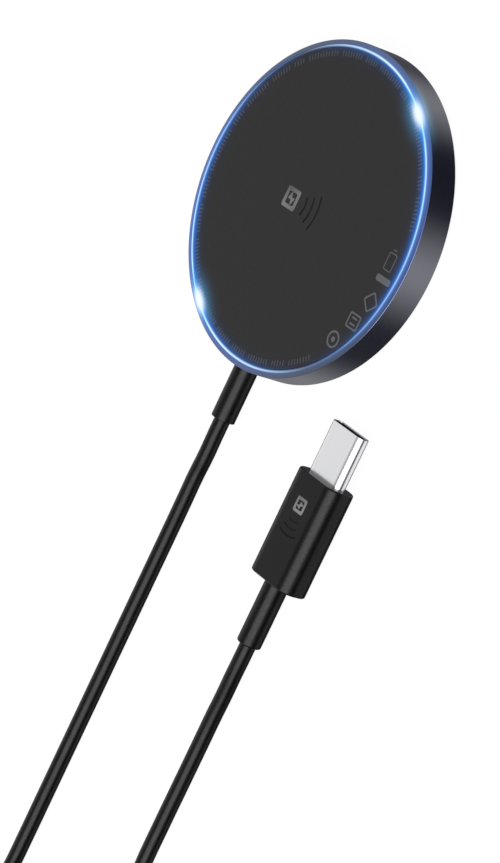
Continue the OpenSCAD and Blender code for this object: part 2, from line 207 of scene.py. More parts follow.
def add_piece(name, shape, material, nodes=()):
    """Makes a piece from a (verts, faces) shape, shaded smooth except at its sharp edges."""
    mesh = bpy.data.meshes.new(name)
    mesh.from_pydata([Vector(v) * MM for v in shape[0]], [], shape[1])
    clean = bmesh.new()
    clean.from_mesh(mesh)
    bmesh.ops.remove_doubles(clean, verts=clean.verts, dist=1e-7)
    bmesh.ops.recalc_face_normals(clean, faces=clean.faces)
    clean.to_mesh(mesh)
    clean.free()
    mesh.shade_smooth()
    mesh.set_sharp_from_angle(angle=SHARP)
    piece = bpy.data.objects.new(name, mesh)
    bpy.context.scene.collection.objects.link(piece)
    even = piece.modifiers.new("even_shading", "WEIGHTED_NORMAL")
    even.keep_sharp = True
    dress(piece, material, nodes)
    return piece


# ---- Material helpers ----

def put(tree, socket, value):
    """Links a socket to another node's output, or sets its own value."""
    if isinstance(value, bpy.types.NodeSocket):
        tree.links.new(value, socket)
    else:
        socket.default_value = value


def add_node(tree, kind, inputs, **settings):
    """A shader node with its settings, and with its inputs linked or given values."""
    node = tree.nodes.new(kind)
    for key, value in settings.items():
        setattr(node, key, value)
    for key, value in inputs.items():
        put(tree, node.inputs[key], value)
    return node


def fill_ramp(ramp, stops):
    """Gives a colour ramp its (position, colour) stops."""
    while len(ramp.elements) < len(stops):
        ramp.elements.new(0.5)
    for element, (position, colour) in zip(ramp.elements, stops):
        element.position = position
        element.color = (*colour, 1)


def greys(stops):
    """(position, level) stops as (position, colour) stops."""
    return [(position, (level, level, level)) for position, level in stops]


class Surface:
    """A Principled material whose colour, roughness and relief have a grain, in millimetres."""

    def __init__(self, name, colour, roughness, metallic=0.0, specular=0.5, grain=0.1, depth=0.004,
                 tone=0.08, polish=0.06, stretch=(1, 1, 1)):
        self.material = bpy.data.materials.new(name)
        self.material.use_nodes = True
        self.tree = self.material.node_tree
        self.shader = self.tree.nodes["Principled BSDF"]
        self.shader.inputs["Metallic"].default_value = metallic
        self.shader.inputs["Specular IOR Level"].default_value = specular
        self.place = self.add("ShaderNodeTexCoord", {}).outputs["Object"]
        self.split = self.add("ShaderNodeSeparateXYZ", {0: self.place})
        speckle = self.noise(1 / (grain * MM), stretch)
        cloud = self.noise(0.12 / (grain * MM), stretch)
        dark = [c * (1 - tone) for c in colour]
        light = [c * (1 + tone) for c in colour]
        self.colour = self.mix(self.blend(speckle, cloud), dark, light)
        self.connect(self.colour, "Base Color")
        self.connect(self.between(cloud, roughness - polish, roughness + polish), "Roughness")
        self.bump(speckle, depth)

    def add(self, kind, inputs, **settings):
        return add_node(self.tree, kind, inputs, **settings)

    def connect(self, output, name):
        self.tree.links.new(output, self.shader.inputs[name])

    def math(self, operation, a, b=0.0):
        return self.add("ShaderNodeMath", {0: a, 1: b}, operation=operation).outputs[0]

    def noise(self, scale, stretch=(1, 1, 1), detail=3.0):
        stretched = self.add("ShaderNodeMapping", {"Vector": self.place, "Scale": stretch})
        inputs = {"Vector": stretched.outputs[0], "Scale": scale, "Detail": detail}
        return self.add("ShaderNodeTexNoise", inputs).outputs["Fac"]

    def blend(self, a, b):
        return self.math("MULTIPLY", self.math("ADD", a, b), 0.5)

    def between(self, value, low, high):
        """A noise value, which is mostly from 0.3 to 0.7, spread from low to high."""
        inputs = {"Value": value, "From Min": 0.3, "From Max": 0.7, "To Min": low, "To Max": high}
        return self.add("ShaderNodeMapRange", inputs).outputs[0]

    def mix(self, share, low, high):
        node = self.add("ShaderNodeMix", {"Factor": share}, data_type="RGBA")
        put(self.tree, node.inputs["A"], (*low, 1) if isinstance(low, (list, tuple)) else low)
        put(self.tree, node.inputs["B"], (*high, 1) if isinstance(high, (list, tuple)) else high)
        return node.outputs["Result"]

    def bump(self, height, depth):
        """Relief of a depth in millimetres, on top of any that is there."""
        inputs = {"Height": height, "Distance": depth * MM, "Strength": 1.0}
        if self.shader.inputs["Normal"].is_linked:
            inputs["Normal"] = self.shader.inputs["Normal"].links[0].from_socket
        self.connect(self.add("ShaderNodeBump", inputs).outputs[0], "Normal")

    def ramp(self, share, stops):
        node = self.add("ShaderNodeValToRGB", {"Fac": share})
        fill_ramp(node.color_ramp, stops)
        return node.outputs["Color"]

    def scaled(self, colour, level):
        node = self.add("ShaderNodeVectorMath", {0: colour, "Scale": level}, operation="SCALE")
        return node.outputs[0]

    def sum(self, a, b):
        return self.add("ShaderNodeVectorMath", {0: a, 1: b}, operation="ADD").outputs[0]

    def glow(self, colour):
        self.connect(colour, "Emission Color")
        self.shader.inputs["Emission Strength"].default_value = 1.0


# ---- The lit ring: its stops run over half a turn, from one bright point to the next ----

LIT_START = 57          # degrees, where the first half turn starts
# The line's colour, which dips where a bright point covers it
LINE_STOPS = [
    (0.000, (0.05, 0.10, 0.15)), (0.035, (0.22, 0.55, 0.80)), (0.075, (0.66, 0.88, 1.00)),
    (0.130, (0.72, 0.94, 1.05)), (0.250, (0.48, 0.68, 1.00)), (0.390, (0.10, 0.13, 0.22)),
    (0.470, (0.07, 0.14, 0.34)), (0.600, (0.23, 0.45, 0.86)), (0.780, (0.48, 0.76, 1.05)),
    (0.920, (0.56, 0.84, 1.00)), (0.965, (0.22, 0.55, 0.80)), (1.000, (0.05, 0.10, 0.15)),
]
# Its drift outward, as a share of LINE_SHIFT
LINE_DRIFT = [(0.20, 0.0), (0.42, 1.0), (0.62, 0.0)]
# The strength of the blue light beside the line
HALO_STOPS = [
    (0.00, 0.95), (0.17, 0.50), (0.27, 0.15), (0.38, 0.02),
    (0.50, 0.12), (0.67, 0.70), (0.83, 1.00), (1.00, 0.95),
]
LINE_R = 26.89          # mm, where the lit line is brightest
LINE_ASIDE = -0.06      # mm, how far the line's centre lies off the puck's, along X
LINE_SHIFT = 0.22       # mm, how far it drifts outward where it is dimmest
LINE_SPREAD = 0.135     # mm, from its middle to where it is clearly dimmer
# The ring's light on the face is painted as a glow: its colour and its fade
PAINTED_GLOW_COLOUR = (0.0, 0.184, 0.76)
PAINTED_GLOW_FADE = 0.50        # mm, over which the painted light fades inward on the face
SPOT_ANGLES = (56.4, 237.8)
SPOT_R = 26.72
# A bright point's reach outward, along the ring and up in mm, its colour, and its fall's power
SPOT_CORE = ((0.80, 1.95, 0.9), (0.80, 0.66, 0.50), 3)
SPOT_HALO = ((1.35, 2.90, 0.9), (0.05, 0.25, 0.45), 2)


def turned_share(surface):
    """Where a point lies round the ring, from 0 to 1 over each half turn."""
    angle = surface.math("ARCTAN2", surface.split.outputs[1], surface.split.outputs[0])
    past = surface.math("SUBTRACT", angle, math.radians(LIT_START))
    return surface.math("FRACT", surface.math("DIVIDE", past, math.pi))


def radius_mm(surface, aside=0.0):
    """How far a point lies from the ring's axis, or from a line that is set aside along X."""
    x = surface.math("SUBTRACT", surface.split.outputs[0], aside * MM)
    y = surface.split.outputs[1]
    square = surface.math("ADD", surface.math("MULTIPLY", x, x), surface.math("MULTIPLY", y, y))
    return surface.math("DIVIDE", surface.math("SQRT", square), MM)


def level_ramp(surface, stops):
    """A level that changes with the angle round the ring."""
    return surface.ramp(turned_share(surface), greys(stops))


def halo_level(surface):
    return level_ramp(surface, HALO_STOPS)


def painted_ring_glow(surface):
    """Painted blue light of the ring on the face, fading inward from its edge."""
    outward = surface.math("SUBTRACT", radius_mm(surface), face_r)
    fall = surface.math("EXPONENT", surface.math("DIVIDE", outward, PAINTED_GLOW_FADE))
    level = surface.math("MULTIPLY", fall, halo_level(surface))
    return surface.scaled(PAINTED_GLOW_COLOUR, level)


def bell(surface, distance, power):
    """A bell curve over a distance; a higher power gives it a flatter top."""
    drop = surface.math("POWER", distance, power)
    return surface.math("EXPONENT", surface.math("MULTIPLY", drop, -0.5))


def line_light(surface):
    """The lit line, brightest along its middle."""
    shift = surface.math("MULTIPLY", level_ramp(surface, LINE_DRIFT), LINE_SHIFT)
    middle = surface.math("ADD", shift, LINE_R)
    off = surface.math("SUBTRACT", radius_mm(surface, LINE_ASIDE), middle)
    level = bell(surface, surface.math("DIVIDE", off, LINE_SPREAD), 2)
    return surface.scaled(surface.ramp(turned_share(surface), LINE_STOPS), level)


def spots(surface):
    """The light of the two bright points: the clear ring's own light, and painted light on the face,
    print and metal.
    """
    total = (0, 0, 0)
    for degrees in SPOT_ANGLES:
        angle = math.radians(degrees)
        centre = (SPOT_R * MM * math.cos(angle), SPOT_R * MM * math.sin(angle), face_top * MM)
        for spread, colour, power in (SPOT_CORE, SPOT_HALO):
            reach = {
                "Vector": surface.place, "Location": centre, "Rotation": (0, 0, angle),
                "Scale": [s * MM for s in spread],
            }
            local = surface.add("ShaderNodeMapping", reach, vector_type="TEXTURE").outputs[0]
            far = surface.add("ShaderNodeVectorMath", {0: local}, operation="LENGTH")
            level = bell(surface, far.outputs["Value"], power)
            total = surface.sum(total, surface.scaled(colour, level))
    return total


def lit(surface, halo):
    """Makes a surface glow with the ring's halo, line and two bright points: the clear ring's own
    light on the ring, and painted light on the face.
    """
    surface.glow(surface.sum(surface.sum(halo, line_light(surface)), spots(surface)))


# ---- Materials ----

def metal_material():
    """Dark anodised aluminium: its narrow top looks bluer, and glows with painted light of the lit
    ring.
    """
    top_colour = (0.110, 0.140, 0.215)
    painted_top_glow = (0.02, 0.09, 0.42)
    glow_fade = 1.1
    wall_end = (rim_z - 0.3) * MM
    top_start = (rim_z - 0.12) * MM
    s = Surface("anodised_metal", (0.180, 0.184, 0.205), 0.22, metallic=1.0, grain=0.06,
                depth=0.0006, tone=0.05, polish=0.03, stretch=(1, 1, 6))
    outward = s.math("SUBTRACT", radius_mm(s), guide_r)
    fall = s.math("EXPONENT", s.math("MULTIPLY", outward, -glow_fade))
    height = {"Value": s.split.outputs[2], "From Min": wall_end, "From Max": top_start}
    on_top = s.add("ShaderNodeMapRange", height).outputs[0]
    s.connect(s.mix(on_top, s.colour, top_colour), "Base Color")
    level = s.math("MULTIPLY", s.math("MULTIPLY", fall, on_top), halo_level(s))
    # Painted light: the ring's blue glow on the top, and the bright points' glow on the wall and top.
    s.glow(s.sum(s.scaled(painted_top_glow, level), spots(s)))
    return s.material


def face_material():
    """Matte soft-touch coating, with painted blue light of the ring glowing close to it."""
    s = Surface("soft_touch_face", (0.0115, 0.0112, 0.0122), 0.55, specular=0.22, grain=0.07,
                depth=0.0025, tone=0.05, polish=0.04)
    # Painted light: the face glows with the ring's halo, line and bright points near its edge.
    lit(s, painted_ring_glow(s))
    return s.material


def guide_material():
    """The clear ring over the lamps: it carries the line, on a dim blue glow."""
    s = Surface("lit_guide", (0.020, 0.035, 0.060), 0.30, specular=0.15, grain=0.2, depth=0.001)
    lit(s, s.scaled((0.02, 0.09, 0.38), halo_level(s)))
    return s.material


def nickel_material():
    """Bright plated steel with faint draw lines along the shell."""
    s = Surface("nickel_shell", (0.85, 0.85, 0.87), 0.22, metallic=1.0, grain=0.05, depth=0.0003,
                tone=0.02, polish=0.02, stretch=(1, 0.08, 1))
    return s.material


def rubber_material(name, colour, roughness, grain, depth):
    return Surface(name, colour, roughness, specular=0.22, grain=grain, depth=depth).material


def strap_material():
    """Woven strap: ribs both ways and a looser fuzz."""
    s = Surface("strap_weave", (0.014, 0.014, 0.015), 0.85, specular=0.2, grain=0.25, depth=0.03)
    s.shader.inputs["Sheen Weight"].default_value = 0.25
    wave = {"Vector": s.place, "Scale": 900.0, "Distortion": 1.0, "Detail": 1.0}
    for direction in ("X", "Z"):
        ribs = s.add("ShaderNodeTexWave", wave, bands_direction=direction).outputs["Fac"]
        s.bump(ribs, 0.03)
    return s.material


def ink_material(name, grey):
    """Grey print on the face, with painted light of the ring glowing on it."""
    s = Surface(name, (grey, grey, grey * 1.03), 0.5, specular=0.22, grain=0.05)
    # Painted light: the ring's glow and its bright points on the print.
    s.glow(s.sum(painted_ring_glow(s), spots(s)))
    return s.material


def foil_material(name, grey, roughness):
    """Hot-pressed foil: a soft sweep from darker to lighter along it."""
    s = Surface(name, (grey, grey, grey), roughness, metallic=1.0, grain=0.3, depth=0.0003,
                polish=0.02)
    sweep = s.between(s.noise(160.0, detail=0.0), 0.55, 1.5)
    s.connect(s.scaled(s.colour, sweep), "Base Color")
    return s.material


def board_material():
    """Solder mask over copper: traces show as a slightly raised, lighter pattern."""
    s = Surface("board_mask", (0.012, 0.085, 0.035), 0.32, grain=0.15, depth=0.002)
    cells = s.add("ShaderNodeTexVoronoi", {"Vector": s.place, "Scale": 700.0},
                  distance="MANHATTAN", feature="F1").outputs["Distance"]
    trace_edge = 0.42
    traces = s.math("GREATER_THAN", cells, trace_edge)
    s.connect(s.mix(traces, s.colour, (0.03, 0.16, 0.07)), "Base Color")
    s.bump(traces, 0.02)
    return s.material


def winding_material():
    """Stranded copper under clear enamel: fine twisted ribs along the wire."""
    s = Surface("copper_winding", (0.62, 0.27, 0.10), 0.30, metallic=1.0, grain=0.12, depth=0.01)
    ribs = s.add("ShaderNodeTexWave", {"Vector": s.place, "Scale": 1500.0, "Distortion": 3.0},
                 bands_direction="DIAGONAL").outputs["Fac"]
    s.bump(ribs, 0.012)
    return s.material


# ---- Sizes: the frame's, the cord's in metres, and a few of this file's own ----

CORD_DIAMETER = 0.00275

housing_low, housing_high = span("housing_ring")
face_low, face_high = span("charging_face")
guide_low, guide_high = span("light_guide_ring")
cover_low, cover_high = span("base_cover")
foot_high = span("anti_slip_ring")[1]
gland_low, gland_high = span("cord_gland")
grip_low, grip_high = span("plug_overmold")
sleeve_low = span("plug_strain_relief")[0]
shell_low, shell_high = span("plug_shell")
tie_low, tie_high = span("coil_tie")

wall_t = 0.8
disc_r = housing_high.x
bore_r = disc_r - wall_t
rim_z = housing_high.z
face_top = face_high.z
face_r = face_high.x
guide_r = guide_high.x
guide_low_r = bore_r - 0.9
foot_in = 15
foot_out = foot_high.x
plug_x = (shell_low.x + shell_high.x) / 2
plug_z = (shell_low.z + shell_high.z) / 2
gland_z = (gland_low.z + gland_high.z) / 2

sleeve_r = 2.05
cord_bore_r = CORD_DIAMETER / MM / 2 + 0.06


# ---- Puck ----

def housing_piece():
    """Side wall and inner ledge, every edge softly rounded."""
    foot_bevel = 0.2
    rim_bevel = 0.12
    ledge_low = 1.3
    ledge_high = 2.3
    ledge_r = bore_r - 0.85
    corners = [
        (bore_r, housing_low.z, 0.05), (disc_r - foot_bevel, housing_low.z, 0.06),
        (disc_r, housing_low.z + foot_bevel, 0.08), (disc_r, rim_z - rim_bevel, 0.12),
        (bore_r, rim_z, 0.04), (bore_r, ledge_high, 0),
        (ledge_r, ledge_high, 0.05), (ledge_r, ledge_low, 0.05), (bore_r, ledge_low, 0),
    ]
    add_piece("puck_housing", lathe(fillet(corners)), metal_material(),
              ["housing_ring"])


def face_piece():
    """Flat disc with a soft upper edge."""
    edge_in = face_r * 0.9
    inner_rings = [(face_r * share, face_top) for share in (0, 0.3, 0.6, 0.85)]
    corners = [
        (edge_in, face_top, 0), (face_r, face_top, 0.12), (face_r, face_low.z, 0.05),
        (edge_in, face_low.z, 0),
    ]
    outline = inner_rings + fillet(corners, closed=False) + [(0, face_low.z)]
    add_piece("puck_face", lathe(outline, closed=False), face_material(),
              ["charging_face"])


def guide_piece():
    """Clear ring: a lip that shows at the rim, and a flange under the face."""
    lip_in = guide_r - 0.5
    flange_out = guide_r - 0.1
    flange_top = face_low.z - 0.05
    corners = [
        (guide_low_r, guide_low.z, 0.05), (flange_out, guide_low.z, 0.05),
        (flange_out, face_low.z, 0), (guide_r, face_low.z, 0), (guide_r, guide_high.z, 0.14),
        (lip_in, guide_high.z, 0.14), (lip_in, flange_top, 0), (guide_low_r, flange_top, 0.05),
    ]
    add_piece("puck_light_ring", lathe(fillet(corners)), guide_material(),
              ["light_guide_ring"])


def cover_piece():
    """Base plate with the foot's groove and a fine line near its edge."""
    bottom = cover_low.z
    groove_top = foot_high.z
    groove_in = foot_in - 0.05
    groove_out = foot_out + 0.05
    edge_r = cover_high.x
    line_in = edge_r - 1.4
    line_out = edge_r - 1.1
    line_top = bottom + 0.08
    line_slope = 0.05
    corners = [
        (0, bottom, 0), (groove_in, bottom, 0.05), (groove_in, groove_top, 0),
        (groove_out, groove_top, 0), (groove_out, bottom, 0.05),
        (line_in, bottom, 0.03), (line_in + line_slope, line_top, 0.03),
        (line_out - line_slope, line_top, 0.03), (line_out, bottom, 0.03),
        (edge_r, bottom, 0.12), (edge_r, cover_high.z, 0.05), (0, cover_high.z, 0),
    ]
    material = rubber_material("base_plastic", (0.020, 0.020, 0.021), 0.5, 0.08, 0.004)
    add_piece("puck_base", lathe(fillet(corners, closed=False), closed=False), material,
              ["base_cover"])


def foot_piece():
    """Rubber ring with shallow grooves round its tread."""
    groove_w = 0.30
    groove_depth = 0.10
    grooves = 7
    pitch = (foot_out - foot_in) / (grooves + 1)
    corners = [(foot_in, foot_high.z, 0), (foot_in, 0, 0.1)]
    for i in range(1, grooves + 1):
        middle = foot_in + i * pitch
        corners += [
            (middle - groove_w / 2, 0, 0.04), (middle - groove_w / 4, groove_depth, 0.03),
            (middle + groove_w / 4, groove_depth, 0.03), (middle + groove_w / 2, 0, 0.04),
        ]
    corners += [(foot_out, 0, 0.1), (foot_out, foot_high.z, 0)]
    material = rubber_material("foot_rubber", (0.012, 0.012, 0.013), 0.75, 0.1, 0.006)
    add_piece("puck_foot", lathe(fillet(corners, steps=3)), material,
              ["anti_slip_ring"])


# ---- Printed marks: plain shapes with no lettering ----

INK = (face_top - 0.005, face_top + 0.006)      # the print's underside and its top


def placed(outline, x, y, degrees=0):
    """An outline turned about its own origin and then moved."""
    angle = math.radians(degrees)
    c = math.cos(angle)
    s = math.sin(angle)
    return [(x + c * u - s * v, y + s * u + c * v) for u, v in outline]


def bar(width, height):
    return round_rect(width, height, min(width, height) * 0.3, 2)


def circle(radius, x, y):
    turn = [math.radians(15 * i) for i in range(24)]
    return [(x + radius * math.cos(a), y + radius * math.sin(a)) for a in turn]


def open_box(width, height, stroke, low, high, place):
    """A round-cornered frame."""
    outer = placed(round_rect(width, height, 0.35, 3), *place)
    inner = placed(round_rect(width - 2 * stroke, height - 2 * stroke, 0.2, 3), *place)
    return frame_prism(outer, inner, low, high)


def arc_band(radius, stroke, first, last, steps=16):
    """A curved stroke from one angle to another, as an outline."""
    turn = [math.radians(first + (last - first) * i / steps) for i in range(steps + 1)]
    out_r = radius + stroke / 2
    in_r = radius - stroke / 2
    outer = [(out_r * math.cos(a), out_r * math.sin(a)) for a in turn]
    inner = [(in_r * math.cos(a), in_r * math.sin(a)) for a in turn]
    return outer + inner[::-1]


def bolt(size):
    """A plain lightning bolt."""
    half = [(-0.10, 0.50), (-0.34, -0.08), (-0.04, -0.08)]
    return [(u * size, v * size) for u, v in half + [(-u, -v) for u, v in half]]


def tick_ring():
    """Groups of short radial ticks near the rim."""
    tick_r = 25.6
    tick_w = 0.20
    tick_step = 1.45
    gap = 1.2 * tick_step
    groups = [9, 4, 12, 6, 3, 10, 5, 8, 11, 4, 7, 9, 5, 12, 6, 8, 10, 5, 9, 7, 6, 8, 5, 8]
    shapes = []
    degrees = 14
    for count in groups:
        for i in range(count):
            length = 1.0 if i % 3 else 0.8
            angle = math.radians(degrees)
            x = tick_r * math.cos(angle)
            y = tick_r * math.sin(angle)
            shapes.append(prism(placed(bar(length, tick_w), x, y, degrees), *INK))
            degrees += tick_step
        degrees += gap
    return shapes


def side_symbols():
    """Five plain signs in a row along the rim: box, bar, diamond, box with lines, and target."""
    stroke = 0.28
    thin = 0.16
    target = (19.4, -15.1)
    return [
        prism(placed(bar(3.6, 1.1), 24.0, -2.8), *INK),
        open_box(2.6, 2.6, stroke, *INK, (23.6, -6.8, 45)),
        open_box(2.9, 2.6, stroke, *INK, (21.9, -10.9, 0)),
        frame_prism(circle(1.45, *target), circle(1.10, *target), *INK),
        prism(circle(0.45, *target), *INK),
        open_box(2.0, 3.0, thin, *INK, (23.7, 0.2, 0)),
        prism(placed(bar(0.9, thin), 23.7, 2.2), *INK),
        prism(placed(bar(1.4, stroke), 21.9, -10.4), *INK),
        prism(placed(bar(1.4, stroke), 21.9, -11.4), *INK),
    ]


def bolt_tile(size, low, high, place):
    """A round-cornered frame with a bolt in it."""
    tile = open_box(3.2 * size, 3.2 * size, 0.62 * size, low, high, place)
    return [tile, prism(placed(bolt(2.3 * size), *place), low, high)]


def arc_set(size, low, high, place):
    """Three widening arcs."""
    reach = 24
    shapes = []
    for radius in (3.5, 5.0, 6.5):
        band = arc_band(radius * size, 0.34 * size, -reach, reach)
        shapes.append(prism(placed(band, *place), low, high))
    return shapes


def mark_pieces():
    """The print on the face, and a tile with arcs on the face and on the grip."""
    tick_ink = ink_material("tick_ink", 0.047)
    symbol_ink = ink_material("symbol_ink", 0.075)
    bright = foil_material("bright_foil", 0.20, 0.25)
    dark = foil_material("dark_foil", 0.012, 0.08)
    add_piece("rim_ticks", joined(tick_ring()), tick_ink)
    add_piece("rim_symbols", joined(side_symbols()), symbol_ink)
    place = (-4.1, 0, 0)
    size = 1.1
    add_piece("face_tile", joined(bolt_tile(size, *INK, place)), bright)
    add_piece("face_arcs", joined(arc_set(size, *INK, place)), dark)
    place = (plug_x, grip_high.y - 5.0, -90)
    size = 0.80
    heights = (grip_high.z - 0.01, grip_high.z + 0.006)
    add_piece("grip_tile", joined(bolt_tile(size, *heights, place)), bright)
    add_piece("grip_arcs", joined(arc_set(size, *heights, place)), dark)


# ---- Sleeves, plug ----

def gland_piece(material):
    """Sleeve from the side wall: its first ring follows the wall's curve."""
    start_y = -disc_r + 0.3
    end_y = gland_low.y
    bore_y = end_y + 1.0
    corners = [
        (0, start_y, 0), (sleeve_r, start_y, 0), (sleeve_r, end_y, 0.10),
        (cord_bore_r, end_y, 0.06), (cord_bore_r, bore_y, 0), (0, bore_y, 0),
    ]
    verts, faces = lathe(fillet(corners, closed=False), False, "y", (0, gland_z), 96)
    root_r = disc_r - 0.06
    verts = [(x, -math.sqrt(root_r ** 2 - x ** 2) if y > -disc_r else y, z) for x, y, z in verts]
    return add_piece("gland_sleeve", (verts, faces), material, ["cord_gland"])


def plug_sleeve_piece(material):
    """Sleeve behind the grip, its end well rounded."""
    start_y = grip_low.y + 0.6
    end_y = sleeve_low.y
    bore_y = end_y + 0.9
    corners = [
        (0, start_y, 0), (sleeve_r, start_y, 0), (sleeve_r, end_y, 0.38),
        (cord_bore_r, end_y, 0.08), (cord_bore_r, bore_y, 0), (0, bore_y, 0),
    ]
    shape = lathe(fillet(corners, closed=False), False, "y", (plug_x, plug_z), 96)
    return add_piece("plug_sleeve", shape, material, ["plug_strain_relief"])


def grip_piece():
    """Moulded grip with softly rounded ends, closed round the shell."""
    front = grip_high.y
    back = grip_low.y
    width = grip_high.x - grip_low.x
    height = grip_high.z - grip_low.z
    corner = 2.4
    edge = 0.3
    mouth_w = shell_high.x - shell_low.x - 0.02
    mouth_h = shell_high.z - shell_low.z - 0.02
    mouth = (mouth_w, mouth_h, mouth_h / 2)
    stations = [(front - 2, *mouth), (front, *mouth)]
    steps = 6
    for i in range(steps + 1):
        angle = math.pi / 2 * i / steps
        inset = edge * (1 - math.sin(angle))
        y = front - edge * (1 - math.cos(angle))
        stations.append((y, width - 2 * inset, height - 2 * inset, corner - inset))
    for i in range(steps + 1):
        angle = math.pi / 2 * i / steps
        inset = edge * (1 - math.cos(angle))
        y = back + edge * (1 - math.sin(angle))
        stations.append((y, width - 2 * inset, height - 2 * inset, corner - inset))
    hole = 2 * sleeve_r
    wide_hole = hole + 0.2
    stations.append((back, wide_hole, wide_hole, wide_hole / 2))
    stations.append((back + 0.3, hole, hole, sleeve_r))
    material = rubber_material("grip_plastic", (0.0013, 0.0013, 0.0015), 0.31, 0.06, 0.0012)
    shape = loft_y(stations, (plug_x, plug_z), 12)
    return add_piece("plug_grip", shape, material, ["plug_overmold"])


def shell_piece():
    """Drawn metal shell with a rolled lip, open at the front."""
    wall = 0.25
    tip = shell_high.y
    rear = shell_low.y
    width = shell_high.x - shell_low.x
    height = shell_high.z - shell_low.z
    lip = wall / 2
    stations = [(rear, width, height, height / 2)]
    steps = 6
    for i in range(steps + 1):
        angle = math.pi * i / steps
        inset = lip * (1 - math.cos(angle))
        y = tip - lip * (1 - math.sin(angle))
        stations.append((y, width - 2 * inset, height - 2 * inset, height / 2 - inset))
    inner = 2 * wall
    stations.append((rear, width - inner, height - inner, height / 2 - wall))
    shape = loft_y(stations, (plug_x, plug_z), 14, closed=True)
    return add_piece("plug_metal_shell", shape, nickel_material(), ["plug_shell"])


# ---- Cord, in metres: two stretches with the CAD's points, and the coil between them ----

LEAD_ROUTE = [
    (0, -0.0366, 0.00255), (0, -0.0400, 0.00255), (-0.0001, -0.0440, 0.0024),
    (-0.0007, -0.0480, 0.0020), (-0.0010, -0.0520, 0.0017), (-0.0012, -0.0560, 0.0015),
    (-0.0013, -0.0600, 0.0014), (-0.0013, -0.0680, 0.0014), (-0.0013, -0.0760, 0.0014),
    (-0.0013, -0.0840, 0.0014), (-0.0013, -0.0920, 0.0014), (-0.0013, -0.1000, 0.0014),
    (-0.0013, -0.1080, 0.0014), (-0.0013, -0.1160, 0.0014), (-0.0014, -0.1220, 0.0014),
    (-0.0020, -0.1270, 0.0014), (-0.0030, -0.1320, 0.0014), (-0.0042, -0.1380, 0.0014),
]
TAIL_ROUTE = [
    (0.0336, -0.1400, 0.0068), (0.0330, -0.1345, 0.0058), (0.0320, -0.1290, 0.0043),
    (0.0307, -0.1230, 0.0027), (0.0293, -0.1170, 0.0017), (0.0281, -0.1110, 0.0014),
    (0.0275, -0.1050, 0.0014), (0.0274, -0.0980, 0.0014), (0.0274, -0.0910, 0.0014),
    (0.0274, -0.0860, 0.0014), (0.0275, -0.0820, 0.0015), (0.0278, -0.0780, 0.0018),
    (0.0283, -0.0740, 0.0022), (0.0288, -0.0700, 0.0027), (0.0291, -0.0670, 0.00295),
    (0.0291, -0.0636, 0.00295),
]
COIL_CENTRE = (0.0146, -0.1440)
COIL_MID_R = 0.0164
COIL_PITCH = 0.0028
COIL_FLOOR = 0.0014
COIL_START = 180                # degrees
COIL_SWEEP = 2700               # degrees, seven and a half turns
COIL_STEP = 12                  # degrees between points
# Each turn's seat in the winding, as (column, layer)
SEATS = [(1, 0), (0, 0), (-1, 0), (-1, 1), (0, 1), (1, 1), (0, 2), (1, 2)]
TURNS_BACK = (2, 3, 5, 6)       # these turns are shorter, because the winding turns back there
MOVE = 36                       # degrees in which the cord moves to its next seat
TIE_LIFT = 0.0005               # the strap's thickness under the coil
TIE_ANGLE = 270
TIE_REACH = (16, 38)            # degrees from the strap: the lift is full, and is gone
BULGE_ANGLE = 7 * 360 + 54      # here the last turn passes over the cord's move below it
BULGE_REACH = (10, 34)
BULGE_OUT = 0.0006
BULGE_UP = 0.0008


def smooth_step(share):
    share = min(max(share, 0), 1)
    return share * share * (3 - 2 * share)


def eased(off, reach):
    """1 up to the reach's first distance, then easing down to 0 at its second."""
    full, gone = reach
    return smooth_step((gone - off) / (gone - full))


def tie_lift(degrees):
    """How far the turns rise where they lie on the strap."""
    off = abs((degrees - TIE_ANGLE + 180) % 360 - 180)
    return TIE_LIFT * eased(off, TIE_REACH)


def coil_points():
    """Points along the winding, which moves from seat to seat at the end of each turn."""
    ends = []
    total = COIL_START
    for turn in range(len(SEATS) - 1):
        total += 360 - (MOVE if turn in TURNS_BACK else 0)
        ends.append(total)
    points = []
    for degrees in range(COIL_START, COIL_START + COIL_SWEEP + 1, COIL_STEP):
        column, layer = SEATS[0]
        for end, (next_column, next_layer) in zip(ends, SEATS[1:]):
            share = smooth_step((degrees - (end - MOVE)) / MOVE)
            column += (next_column - column) * share
            layer += (next_layer - layer) * share
        bulge = eased(abs(degrees - BULGE_ANGLE), BULGE_REACH)
        radius = COIL_MID_R + column * COIL_PITCH + bulge * BULGE_OUT
        angle = math.radians(degrees)
        x = COIL_CENTRE[0] + radius * math.cos(angle)
        y = COIL_CENTRE[1] + radius * math.sin(angle)
        z = COIL_FLOOR + layer * COIL_PITCH + tie_lift(degrees) + bulge * BULGE_UP
        points.append((x, y, z))
    return points


def cord_piece(material):
    """The whole cord as one round curve, from the gland to the plug."""
    curve = bpy.data.curves.new("charge_cord", "CURVE")
    curve.dimensions = "3D"
    curve.bevel_depth = CORD_DIAMETER / 2
    curve.bevel_resolution = 10
    curve.use_fill_caps = True
    points = LEAD_ROUTE + coil_points() + TAIL_ROUTE
    spline = curve.splines.new("BEZIER")
    spline.resolution_u = 8
    spline.bezier_points.add(len(points) - 1)
    for bezier, point in zip(spline.bezier_points, points):
        bezier.co = point
        bezier.handle_left_type = "AUTO"
        bezier.handle_right_type = "AUTO"
    cord = bpy.data.objects.new("charge_cord", curve)
    bpy.context.scene.collection.objects.link(cord)
    dress(cord, material, ["cord_lead", "cord_coil", "cord_tail"])
    return cord


